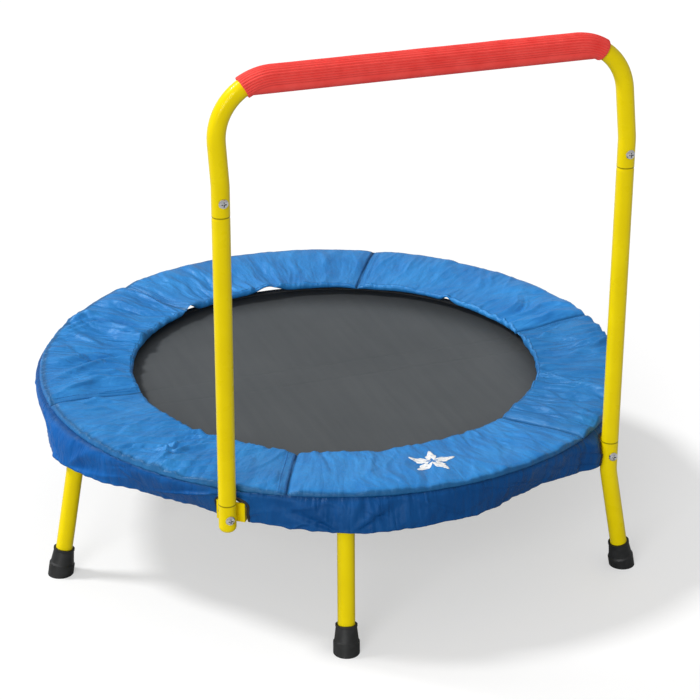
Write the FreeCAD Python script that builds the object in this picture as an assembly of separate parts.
import FreeCAD, Part
import math
import os

# Folding mini trampoline with a support bar. All sizes are in millimetres.
# The origin is on the floor below the centre of the ring, +Z is up, the support bar stands on the
# -Y side and runs along X. An azimuth is counted from -Y and grows towards +X.

V = FreeCAD.Vector
FRONT, REAR = -1, 1
LEFT, RIGHT = -1, 1

# Pad and skirt
PAD_R = 457.0
PAD_INNER_R = 315.0
PAD_TOP_Z = 235.5
PAD_UNDER_Z = 226.8
COVER = 0.8
SKIRT_WALL = 2.0
SKIRT_BOTTOM_Z = 180.0
ELASTIC = 2.0
SKIRT_OPENING = (26.0, 215.0)
TAPE = 3.0
TAPE_SKIN = 0.4
PAD_END_Y = 14.0

# Ring and mat plane
RING_Z = 212.0
RING_R = 426.0
RING_TUBE_R = 14.0
TUBE_WALL = 1.2

# Double-pivot hinge on each side of the ring
PIN_Y = 27.0
PIN_R = 4.0
RUNNING = 0.05
LINK_X = 424.0
RING_END_Y = 42.0
KNUCKLE_R = 13.5
KNUCKLE_HALF_WIDTH = 12.0
LINK_GAP = 0.2
LINK_PLATE = 2.3
LINK_END_R = 13.0
LINK_WEB = 2.4
PAD_HINGE_NOTCH = (400.0, 448.5, 42.3)
PAD_CREASE_NOTCH = (PAD_INNER_R - 15.0, 352.0, 31.0)

# Legs and feet
LEG_R = 12.5
LEG_TOP_R = 457.0
LEG_TOP_Z = 200.0
LEG_BOLT_Z = 190.0
LEG_BEND_Z = 174.0
HANDLE_LEG_BEND_Z = 168.0
LEG_BEND_RADIUS = 60.0
FOOT_R = 491.0
LEG_LIFT = 8.0
FRONT_LEGS = {"leg_front_left": -76.8, "leg_front_centre": -17.6}
REAR_LEGS = {"leg_rear_right": 103.2, "leg_rear_centre": 162.4, "leg_rear_left": 205.0}
HANDLE_FOOT = (497.0, 41.8)
FOOT_PROFILE = [(19.0, 17.0), (17.4, 19.5), (15.2, 38.0), (15.8, 39.0), (15.8, 42.0)]

# Brackets between the ring and the legs or uprights
BRACKET_PLATE = 2.5
WELD_GAP = 0.05
LEG_BRACKET = (16.0, 182.0, 208.0)
SOCKET_BRACKET = (21.0, 183.0, 212.0)

# Support bar
BAR_R = 12.5
BAR_BORE_R = BAR_R - TUBE_WALL
NECK_R = BAR_BORE_R - 0.05
NECK = 38.0
BAR_X = {LEFT: -291.8, RIGHT: 297.8}
BAR_Y = -374.1
LOWER_SEAM_Z = 216.0
UPPER_SEAM_Z = 643.0
BAR_LEAN_Z = 685.0
BAR_TOP_Z = 826.5
BAR_TOP_X = {LEFT: -301.3, RIGHT: 283.0}
BAR_BEND_RADIUS = 78.0
SOCKET_BOTTOM_Z = 173.0
GRIP_R = 16.2
GRIP_DROOP = 32.0
SOCKET_ROUND = 8.0
LOWER_BOLT_Z = 195.0
UPPER_BOLT_Z = 664.0

# Fasteners
BOLT_R = 3.0
HEAD_R = 6.7
HEAD_HEIGHT = 4.2
RECESS = 7.0
RECESS_WIDTH = 1.5
NUT_R = 5.8
NUT_HEIGHT = 5.0
BOLT_TIP = 1.6

# Mat and springs
MAT_R = 347.0
MAT_THICKNESS = 2.0
MAT_GAP = 1.4
BINDING = (336.0, 350.0, 1.2)
SPRINGS_PER_HALF = 14
SPRING_SPAN = 160.0
HOOK_APEX_R = 361.0
SPRING_BODY = (367.0, 404.0)
SPRING_R = 5.0
WIRE_R = 1.2


def polar(radius, azimuth, z):
    """The point at this radius, azimuth in degrees and height."""
    turn = math.radians(azimuth)
    return V(radius * math.sin(turn), -radius * math.cos(turn), z)


def rod(start, end, radius):
    """A round bar between two points."""
    along = end.sub(start)
    return Part.makeCylinder(radius, along.Length, start, along)


def annulus(inner, outer, low, high):
    """A flat ring about the Z axis."""
    body = rod(V(0, 0, low), V(0, 0, high), outer)
    return body.cut(rod(V(0, 0, low - 1), V(0, 0, high + 1), inner))


def box(low, high):
    """A box between two corners."""
    size = high.sub(low)
    return Part.makeBox(size.x, size.y, size.z, low)


def half(shape, side, clear):
    """The part of a shape on one side of the fold line, that much away from it."""
    reach = 700.0
    near, far = sorted((side * clear, side * reach))
    return shape.common(box(V(-reach, near, -reach), V(reach, far, 2 * reach)))


def bent_path(points, radius):
    """Straight runs between the points, joined by tangent arcs of one radius."""
    edges = []
    start = points[0]
    for corner, after in zip(points[1:-1], points[2:]):
        into = corner.sub(start).normalize()
        out = V(after.sub(corner)).normalize()
        turn = into.getAngle(out)
        reach = radius * math.tan(turn / 2)
        first = corner.sub(into * reach)
        last = corner.add(out * reach)
        inward = out.sub(into).normalize()
        centre = corner.add(inward * (radius / math.cos(turn / 2)))
        middle = centre.sub(inward * radius)
        edges.append(Part.LineSegment(start, first).toShape())
        edges.append(Part.Arc(first, middle, last).toShape())
        start = last
    edges.append(Part.LineSegment(start, points[-1]).toShape())
    return Part.Wire(edges)


def sweep(path, radius):
    """A solid round section swept along a path."""
    start = path.Edges[0].firstVertex().Point
    along = path.Edges[0].tangentAt(path.Edges[0].FirstParameter)
    section = Part.Wire(Part.makeCircle(radius, start, along))
    return path.makePipeShell([section], True, False)


def bent_tube(points, bend_radius, outer, inner):
    """A bent tube with open ends."""
    path = bent_path(points, bend_radius)
    return sweep(path, outer).cut(sweep(path, inner))


def turned(profile, base, along):
    """A solid of revolution: (radius, height) points from the axis and back, stood on a base."""
    wire = Part.makePolygon([V(r, 0, h) for r, h in profile] + [V(profile[0][0], 0, profile[0][1])])
    solid = Part.Face(wire).revolve(V(0, 0, 0), V(0, 0, 1), 360)
    solid.Placement = FreeCAD.Placement(base, FreeCAD.Rotation(V(0, 0, 1), along))
    return solid


def group(solids):
    """Identical pieces kept as separate solids."""
    return Part.makeCompound(solids)


def save(name, shape):
    """Write one sub-part."""
    shape.exportStep(os.path.join("parts", name + ".step"))


# Ring

def ring_tube(side):
    """Half of the steel ring, open at both ends."""
    centre = V(0, 0, RING_Z)
    outer = Part.makeTorus(RING_R, RING_TUBE_R, centre)
    inner = Part.makeTorus(RING_R, RING_TUBE_R - TUBE_WALL, centre)
    tube = half(outer.cut(inner), side, RING_END_Y)
    for azimuth in spring_azimuths(side):
        hole = rod(polar(RING_R - 20, azimuth, RING_Z), polar(RING_R - 8, azimuth, RING_Z), WIRE_R + 0.4)
        tube = tube.cut(hole)
    return tube


def knuckle(side, hand):
    """The forged eye welded into a ring end, with the hole for the hinge bolt."""
    x = hand * LINK_X
    pin = V(x, side * PIN_Y, RING_Z)
    across = V(KNUCKLE_HALF_WIDTH, 0, 0)
    eye = rod(pin.sub(across), pin.add(across), KNUCKLE_R)
    near, far = sorted((side * PIN_Y, side * (RING_END_Y - 0.02)))
    block = box(V(x - KNUCKLE_HALF_WIDTH, near, RING_Z - KNUCKLE_R),
                V(x + KNUCKLE_HALF_WIDTH, far, RING_Z + KNUCKLE_R))
    spigot_y = side * (RING_END_Y + 18.0)
    lean = math.sqrt(RING_R ** 2 - spigot_y ** 2)
    spigot = rod(V(x, side * (RING_END_Y - 4.0), RING_Z), V(hand * lean, spigot_y, RING_Z), 10.5)
    body = eye.fuse(block).fuse(spigot).removeSplitter()
    return body.cut(rod(pin.sub(across * 2), pin.add(across * 2), PIN_R + RUNNING))


def hinge_link(hand):
    """The pressed channel that joins the two ring halves and stops them when they lie flat."""
    x = hand * LINK_X
    inside = KNUCKLE_HALF_WIDTH + LINK_GAP
    web_low = RING_Z - KNUCKLE_R - 0.1 - LINK_WEB
    end_y = PIN_Y + LINK_END_R
    plates = []
    for flank in (LEFT, RIGHT):
        inner, outer = sorted((x + flank * inside, x + flank * (inside + LINK_PLATE)))
        plate = box(V(inner, -end_y, web_low), V(outer, end_y, RING_Z))
        plate = plate.fuse(box(V(inner, -PIN_Y, RING_Z), V(outer, PIN_Y, RING_Z + LINK_END_R)))
        for y in (-PIN_Y, PIN_Y):
            plate = plate.fuse(rod(V(inner, y, RING_Z), V(outer, y, RING_Z), LINK_END_R))
        plates.append(plate)
    web = box(V(x - inside, -end_y, web_low), V(x + inside, end_y, web_low + LINK_WEB))
    channel = plates[0].fuse(plates[1]).fuse(web).removeSplitter()
    reach = V(60, 0, 0)
    for y in (-PIN_Y, PIN_Y):
        pin = V(x, y, RING_Z)
        channel = channel.cut(rod(pin.sub(reach), pin.add(reach), PIN_R))
    return channel


def hinge_bolt(hand, y):
    """A hinge bolt with its head on the outside of the ring."""
    outer_face = hand * (LINK_X + KNUCKLE_HALF_WIDTH + LINK_GAP + LINK_PLATE)
    inner_face = hand * (LINK_X - KNUCKLE_HALF_WIDTH - LINK_GAP - LINK_PLATE)
    head = rod(V(outer_face, y, RING_Z), V(outer_face + hand * HEAD_HEIGHT, y, RING_Z), HEAD_R)
    tip = inner_face - hand * (NUT_HEIGHT + 1.0)
    shank = rod(V(outer_face, y, RING_Z), V(tip, y, RING_Z), PIN_R)
    return head.fuse(shank).removeSplitter()


def hinge_nut(hand, y):
    """The lock nut on a hinge bolt."""
    face = V(hand * (LINK_X - KNUCKLE_HALF_WIDTH - LINK_GAP - LINK_PLATE), y, RING_Z)
    return hex_nut(face, V(-hand, 0, 0), PIN_R, NUT_R + 1.2)


# Fasteners

def hex_nut(face, along, bore, radius):
    """A nut that starts at a face and grows along a direction."""
    corners = [V(radius * math.cos(math.radians(a)), radius * math.sin(math.radians(a)), 0)
               for a in range(0, 361, 60)]
    nut = Part.Face(Part.makePolygon(corners)).extrude(V(0, 0, NUT_HEIGHT))
    nut = nut.common(Part.makeCone(radius, radius - 1.0, NUT_HEIGHT))
    nut = nut.cut(Part.makeCylinder(bore, NUT_HEIGHT * 3, V(0, 0, -NUT_HEIGHT)))
    nut.Placement = FreeCAD.Placement(face, FreeCAD.Rotation(V(0, 0, 1), along))
    return nut


def pan_head_bolt(seat, along, grip):
    """A cross-recessed bolt: the head's underside is at the seat, the shank runs along."""
    head = turned([(0, 0), (HEAD_R, 0), (HEAD_R, HEAD_HEIGHT * 0.38), (HEAD_R * 0.86, HEAD_HEIGHT * 0.74),
                   (HEAD_R * 0.5, HEAD_HEIGHT * 0.95), (0, HEAD_HEIGHT)], V(0, 0, 0), V(0, 0, 1))
    shank = rod(V(0, 0, 0), V(0, 0, -grip), BOLT_R)
    bolt = head.fuse(shank).removeSplitter()
    for length, width in ((RECESS, RECESS_WIDTH), (RECESS_WIDTH, RECESS)):
        slot = box(V(-length / 2, -width / 2, HEAD_HEIGHT / 2), V(length / 2, width / 2, HEAD_HEIGHT + 1))
        bolt = bolt.cut(slot)
    bolt.Placement = FreeCAD.Placement(seat, FreeCAD.Rotation(V(0, 0, -1), along))
    return bolt


def bar_bolt_points():
    """The four places where a bolt crosses a tube of the support bar."""
    return {"lower": [V(BAR_X[hand], BAR_Y, LOWER_BOLT_Z) for hand in (LEFT, RIGHT)],
            "upper": [V(BAR_X[hand], BAR_Y, UPPER_BOLT_Z) for hand in (LEFT, RIGHT)]}


def bar_bolts(level):
    """The two bolts at one level of the support bar, heads to the front."""
    outward = V(0, -1, 0)
    grip = 2 * BAR_R + NUT_HEIGHT + BOLT_TIP
    return group([pan_head_bolt(p.add(outward * BAR_R), V(0, 1, 0), grip)
                  for p in bar_bolt_points()[level]])


def bar_nuts(level):
    """The nuts behind those bolts."""
    inward = V(0, 1, 0)
    return group([hex_nut(p.add(inward * BAR_R), inward, BOLT_R, NUT_R)
                  for p in bar_bolt_points()[level]])


def bar_bolt_hole(point):
    """The hole that a support-bar bolt passes through."""
    across = V(0, BAR_R + 5, 0)
    return rod(point.sub(across), point.add(across), BOLT_R)


# Legs

def leg_line(azimuth):
    """Top, bend and floor point of a plain leg."""
    return [polar(LEG_TOP_R, azimuth, LEG_TOP_Z), polar(LEG_TOP_R, azimuth, LEG_BEND_Z),
            polar(FOOT_R, azimuth, 0.0)]


def handle_leg_line():
    """Top, bend and floor point of the leg that also carries the support bar."""
    return [V(BAR_X[RIGHT], BAR_Y, LOWER_SEAM_Z), V(BAR_X[RIGHT], BAR_Y, HANDLE_LEG_BEND_Z),
            polar(HANDLE_FOOT[0], HANDLE_FOOT[1], 0.0)]


def leg_direction(line):
    """Unit vector up the splayed part of a leg."""
    return V(line[1].sub(line[2])).normalize()


def leg_tube(line):
    """The bent tube of a leg, ending inside its rubber foot."""
    lifted = line[2].add(leg_direction(line) * LEG_LIFT)
    return bent_tube([line[0], line[1], lifted], LEG_BEND_RADIUS, LEG_R, LEG_R - TUBE_WALL)


def plain_leg(azimuth):
    """A leg with the hole for its mounting bolt."""
    return leg_tube(leg_line(azimuth)).cut(leg_bolt_hole(azimuth))


def handle_leg():
    """The leg whose top is the socket of the right upright."""
    return leg_tube(handle_leg_line()).cut(bar_bolt_hole(bar_bolt_points()["lower"][1]))


def foot(line):
    """A two-stage rubber foot pushed onto a leg, cut flat on the floor."""
    up = leg_direction(line)
    below = -14.0
    rubber = turned([(0, below), (FOOT_PROFILE[0][0], below)] + FOOT_PROFILE
                    + [(0, FOOT_PROFILE[-1][1])], line[2], up)
    rubber = rubber.cut(rod(line[2].add(up * LEG_LIFT), line[2].add(up * 80.0), LEG_R))
    reach = 700.0
    return rubber.common(box(V(-reach, -reach, 0), V(reach, reach, 200)))


def upright_box(azimuth, near, far, half_width, low, high):
    """A box that faces outwards at an azimuth, between two radii."""
    block = box(V(-half_width, -far, low), V(half_width, -near, high))
    block.rotate(V(0, 0, 0), V(0, 0, 1), azimuth)
    return block


def ring_clearance():
    """The space that the ring tube fills."""
    return Part.makeTorus(RING_R, RING_TUBE_R, V(0, 0, RING_Z))


def bracket(azimuth, face_r, half_width, low, high):
    """A pressed U bracket welded to the outside of the ring, with its flat face at a radius."""
    shell = upright_box(azimuth, RING_R, face_r, half_width, low, high)
    hollow = upright_box(azimuth, RING_R - 30, face_r - BRACKET_PLATE, half_width - BRACKET_PLATE,
                         low - 1, high + 1)
    return shell.cut(hollow).cut(ring_clearance())


def leg_bracket(azimuth):
    """The bracket that a plain leg is bolted to."""
    body = bracket(azimuth, LEG_TOP_R - LEG_R - WELD_GAP, *LEG_BRACKET)
    return body.cut(leg_bolt_hole(azimuth))


def leg_bolt_hole(azimuth):
    """The hole for the bolt that holds a plain leg."""
    return rod(polar(RING_R - 5, azimuth, LEG_BOLT_Z), polar(LEG_TOP_R + 30, azimuth, LEG_BOLT_Z), BOLT_R)


def leg_bolt(azimuth):
    """A bolt through a leg and its bracket, head outside."""
    seat = polar(LEG_TOP_R + LEG_R, azimuth, LEG_BOLT_Z)
    inward = polar(-1, azimuth, 0)
    return pan_head_bolt(seat, inward, 2 * LEG_R + BRACKET_PLATE + NUT_HEIGHT + BOLT_TIP)


def leg_nut(azimuth):
    """The nut inside a leg bracket."""
    face = polar(LEG_TOP_R - LEG_R - WELD_GAP - BRACKET_PLATE, azimuth, LEG_BOLT_Z)
    return hex_nut(face, polar(-1, azimuth, 0), BOLT_R, NUT_R)


# Support bar

def socket_azimuth(hand):
    """Azimuth of an upright."""
    return math.degrees(math.atan2(BAR_X[hand], -BAR_Y))


def left_socket():
    """The closed stub that holds the left upright."""
    centre = V(BAR_X[LEFT], BAR_Y, SOCKET_BOTTOM_Z)
    height = LOWER_SEAM_Z - SOCKET_BOTTOM_Z
    stub = Part.makeCylinder(BAR_R, height, centre)
    low_rim = [edge for edge in stub.Edges if edge.BoundBox.ZMax < SOCKET_BOTTOM_Z + 1]
    stub = stub.makeFillet(SOCKET_ROUND, low_rim)
    bore = rod(V(BAR_X[LEFT], BAR_Y, LOWER_SEAM_Z - NECK - 1.0), V(BAR_X[LEFT], BAR_Y, LOWER_SEAM_Z + 1),
               BAR_BORE_R)
    return stub.cut(bore).cut(bar_bolt_hole(bar_bolt_points()["lower"][0]))


def socket_bracket(hand):
    """The bracket between the ring and the foot of an upright."""
    face_r = math.hypot(BAR_X[hand], BAR_Y) - BAR_R - WELD_GAP
    body = bracket(socket_azimuth(hand), face_r, *SOCKET_BRACKET)
    bolt_space = bar_bolt_points()["lower"][0 if hand == LEFT else 1]
    return body.cut(rod(bolt_space, bolt_space.add(V(0, 60, 0)), NUT_R + 1.5))


def upright(hand):
    """A straight tube with a swaged neck at each end."""
    bore = NECK_R - TUBE_WALL
    low, high = LOWER_SEAM_Z, UPPER_SEAM_Z
    shoulder = 4.0
    profile = [(bore, low - NECK), (NECK_R, low - NECK), (NECK_R, low), (BAR_R, low),
               (BAR_R, high - shoulder), (BAR_R - 0.8, high), (NECK_R, high), (NECK_R, high + NECK),
               (bore, high + NECK)]
    tube = turned(profile, V(BAR_X[hand], BAR_Y, 0), V(0, 0, 1))
    which = 0 if hand == LEFT else 1
    for level in ("lower", "upper"):
        tube = tube.cut(bar_bolt_hole(bar_bolt_points()[level][which]))
    return tube


def top_bar_points():
    """Corner points of the inverted U, whose top leans a little to the left of its uprights."""
    ends = {hand: [V(BAR_X[hand], BAR_Y, UPPER_SEAM_Z), V(BAR_X[hand], BAR_Y, BAR_LEAN_Z),
                   V(BAR_TOP_X[hand], BAR_Y, BAR_TOP_Z)] for hand in (LEFT, RIGHT)}
    return ends[LEFT] + ends[RIGHT][::-1]


def top_bar():
    """The inverted U tube that a child holds."""
    tube = bent_tube(top_bar_points(), BAR_BEND_RADIUS, BAR_R, BAR_BORE_R)
    for point in bar_bolt_points()["upper"]:
        tube = tube.cut(bar_bolt_hole(point))
    return tube


def bend_start_x(hand):
    """Where the straight top of the bar turns into a bend."""
    lean = math.atan2(abs(BAR_TOP_X[hand]) - abs(BAR_X[hand]), BAR_TOP_Z - BAR_LEAN_Z)
    return BAR_TOP_X[hand] - hand * BAR_BEND_RADIUS * math.tan((math.pi / 2 + lean) / 2)


def bend_point(hand, degrees):
    """The point of a bend's centre line where it has turned by this angle."""
    turn = math.radians(degrees)
    return V(bend_start_x(hand) + hand * BAR_BEND_RADIUS * math.sin(turn), BAR_Y,
             BAR_TOP_Z - BAR_BEND_RADIUS * (1 - math.cos(turn)))


def grip_path():
    """The straight run of the bar and the first part of each bend."""
    arcs = {hand: [bend_point(hand, share * GRIP_DROOP) for share in (1, 0.5, 0)] for hand in (LEFT, RIGHT)}
    run = Part.LineSegment(arcs[LEFT][2], arcs[RIGHT][2])
    return Part.Wire([Part.Arc(*arcs[LEFT]).toShape(), run.toShape(), Part.Arc(*arcs[RIGHT][::-1]).toShape()])


def grip():
    """The foam sleeve over the top of the bar."""
    path = grip_path()
    return sweep(path, GRIP_R).cut(sweep(path, BAR_R))


# Pad and skirt

def pad_notches(grow):
    """Room above the hinge links, and room for the creased mat when the frame is folded."""
    blocks = []
    for near, far, reach in (PAD_HINGE_NOTCH, PAD_CREASE_NOTCH):
        for hand in (LEFT, RIGHT):
            low_x, high_x = sorted((hand * (near - grow), hand * (far + grow)))
            blocks.append(box(V(low_x, -reach - grow, PAD_UNDER_Z - 1),
                              V(high_x, reach + grow, PAD_TOP_Z + 1)))
    return blocks


def without(shape, blocks):
    """A shape with these blocks taken out."""
    for block in blocks:
        shape = shape.cut(block)
    return shape


def pad_foam(side):
    """The foam half ring inside the cover."""
    foam = annulus(PAD_INNER_R + COVER, PAD_R - COVER, PAD_UNDER_Z + COVER, PAD_TOP_Z - COVER)
    foam = half(foam, side, PAD_END_Y + COVER)
    tongues = box(V(-PAD_R, -PAD_HINGE_NOTCH[2] - COVER, 0), V(PAD_R, PAD_HINGE_NOTCH[2] + COVER, 400))
    inside = rod(V(0, 0, 0), V(0, 0, 400), PAD_HINGE_NOTCH[1])
    return without(foam, pad_notches(COVER) + [tongues.cut(inside)])


def pad_cover(side):
    """The fabric cover around the foam."""
    cover = half(annulus(PAD_INNER_R, PAD_R, PAD_UNDER_Z, PAD_TOP_Z), side, PAD_END_Y)
    return without(cover, pad_notches(0.0)).cut(pad_foam(side))


def cutout_azimuths():
    """Where the skirt is open for the socket brackets."""
    return [socket_azimuth(LEFT), socket_azimuth(RIGHT)]


def skirt_opening(azimuth, grow):
    """The block that is taken out of the skirt for a socket bracket."""
    half_width, top = SKIRT_OPENING
    return upright_box(azimuth, PAD_R - 12, PAD_R + 12, half_width + grow, SKIRT_BOTTOM_Z - 5, top + grow)


def skirt_gaps(side):
    """The openings for the socket brackets and the room for the legs of one half."""
    legs = FRONT_LEGS if side == FRONT else REAR_LEGS
    gaps = [upright_box(azimuth, PAD_R - 30, PAD_R + 30, LEG_R + 1.5, SKIRT_BOTTOM_Z - 5, LEG_TOP_Z + 4)
            for azimuth in legs.values()]
    if side == FRONT:
        gaps += [skirt_opening(azimuth, TAPE) for azimuth in cutout_azimuths()]
    return gaps


def skirt(side):
    """The hanging wall of fabric around the pad."""
    wall = annulus(PAD_R - SKIRT_WALL, PAD_R, SKIRT_BOTTOM_Z, PAD_UNDER_Z)
    return without(half(wall, side, PAD_END_Y), skirt_gaps(side))


def cutout_bindings():
    """The folded edge tape around the two openings of the skirt."""
    wall = annulus(PAD_R - SKIRT_WALL - TAPE_SKIN, PAD_R + TAPE_SKIN, SKIRT_BOTTOM_Z, PAD_UNDER_Z)
    return group([wall.common(skirt_opening(azimuth, TAPE)).cut(skirt_opening(azimuth, 0.0))
                  for azimuth in cutout_azimuths()])


def skirt_elastic(side):
    """The elastic in the hem, inside the skirt."""
    band = annulus(PAD_R - SKIRT_WALL - ELASTIC, PAD_R - SKIRT_WALL, SKIRT_BOTTOM_Z + 1, SKIRT_BOTTOM_Z + 7)
    return without(half(band, side, PAD_END_Y), skirt_gaps(side))


# Mat and springs

def mat_disc():
    """The whole round mat before it is cut at the two creases."""
    low = RING_Z - MAT_THICKNESS / 2
    return rod(V(0, 0, low), V(0, 0, low + MAT_THICKNESS), MAT_R)


def binding_ring():
    """The whole webbing edge of the mat."""
    inner, outer, skin = BINDING
    low = RING_Z - MAT_THICKNESS / 2 - skin
    return annulus(inner, outer, low, RING_Z * 2 - low).cut(mat_disc())


def strip(shape):
    """The part between the two creases."""
    reach = 500.0
    edge = PIN_Y - MAT_GAP
    return shape.common(box(V(-reach, -edge, 0), V(reach, edge, 400)))


def spring_azimuths(side):
    """Evenly spaced springs on one half."""
    step = SPRING_SPAN / (SPRINGS_PER_HALF - 1)
    middle = 0.0 if side == FRONT else 180.0
    return [middle - SPRING_SPAN / 2 + step * i for i in range(SPRINGS_PER_HALF)]


def mat_hook(azimuth):
    """The bent wire V that joins the mat's edge to a spring."""
    apex = polar(HOOK_APEX_R, azimuth, RING_Z)
    sideways = polar(1, azimuth + 90, 0)
    feet = [polar(BINDING[1], azimuth, RING_Z).add(sideways * s * 7.0) for s in (-1, 1)]
    legs = [rod(end.sub(polar(2.5, azimuth, 0)), apex, WIRE_R) for end in feet]
    ball = Part.makeSphere(WIRE_R, apex)
    hook = legs[0].fuse(legs[1]).fuse(ball)
    return hook.cut(rod(V(0, 0, 0), V(0, 0, 400), BINDING[1]))


def spring(azimuth):
    """A coil spring as a sleeve with a straight hook at each end."""
    inner, outer = SPRING_BODY
    coil = rod(polar(inner, azimuth, RING_Z), polar(outer, azimuth, RING_Z), SPRING_R)
    shaft = rod(polar(HOOK_APEX_R + WIRE_R, azimuth, RING_Z), polar(RING_R - 9, azimuth, RING_Z), WIRE_R)
    core = rod(polar(inner + 2, azimuth, RING_Z), polar(outer - 2, azimuth, RING_Z), SPRING_R - 1.6)
    return coil.cut(core).fuse(shaft.cut(core)).removeSplitter()


def write_ring():
    for side, name in ((FRONT, "front"), (REAR, "rear")):
        save(name + "_ring_tube", ring_tube(side))
        save(name + "_hinge_knuckles", group([knuckle(side, hand) for hand in (LEFT, RIGHT)]))
    save("hinge_link_left", hinge_link(LEFT))
    save("hinge_link_right", hinge_link(RIGHT))
    places = [(hand, y) for hand in (LEFT, RIGHT) for y in (-PIN_Y, PIN_Y)]
    save("hinge_bolts", group([hinge_bolt(hand, y) for hand, y in places]))
    save("hinge_nuts", group([hinge_nut(hand, y) for hand, y in places]))


def write_legs():
    for legs, name in ((FRONT_LEGS, "front"), (REAR_LEGS, "rear")):
        for leg, azimuth in legs.items():
            save(leg, plain_leg(azimuth))
            save(leg.replace("leg", "foot"), foot(leg_line(azimuth)))
            save(leg.replace("leg", "leg_bracket"), leg_bracket(azimuth))
        save("leg_bolts_" + name, group([leg_bolt(azimuth) for azimuth in legs.values()]))
        save("leg_nuts_" + name, group([leg_nut(azimuth) for azimuth in legs.values()]))
    save("handle_leg", handle_leg())
    save("foot_handle_leg", foot(handle_leg_line()))


def write_support_bar():
    save("left_socket", left_socket())
    save("left_socket_bracket", socket_bracket(LEFT))
    save("right_socket_bracket", socket_bracket(RIGHT))
    save("upright_left", upright(LEFT))
    save("upright_right", upright(RIGHT))
    save("handle_top_bar", top_bar())
    save("handle_grip", grip())
    for level in ("lower", "upper"):
        save(level + "_handle_bolts", bar_bolts(level))
        save(level + "_handle_nuts", bar_nuts(level))


def write_pad():
    for side, name in ((FRONT, "front"), (REAR, "rear")):
        save("pad_foam_" + name, pad_foam(side))
        save("pad_cover_" + name, pad_cover(side))
        save("skirt_" + name, skirt(side))
        save("skirt_elastic_" + name, skirt_elastic(side))
    save("skirt_cutout_bindings", cutout_bindings())


def write_mat():
    for side, name in ((FRONT, "front"), (REAR, "rear")):
        save("mat_" + name, half(mat_disc(), side, PIN_Y + MAT_GAP))
        save("mat_binding_" + name, half(binding_ring(), side, PIN_Y + 2 * MAT_GAP))
        save("mat_hooks_" + name, group([mat_hook(azimuth) for azimuth in spring_azimuths(side)]))
        save("springs_" + name, group([spring(azimuth) for azimuth in spring_azimuths(side)]))
    save("mat_centre", strip(mat_disc()))
    save("mat_binding_centre", strip(binding_ring()))


os.makedirs("parts", exist_ok=True)
write_ring()
write_legs()
write_support_bar()
write_pad()
write_mat()
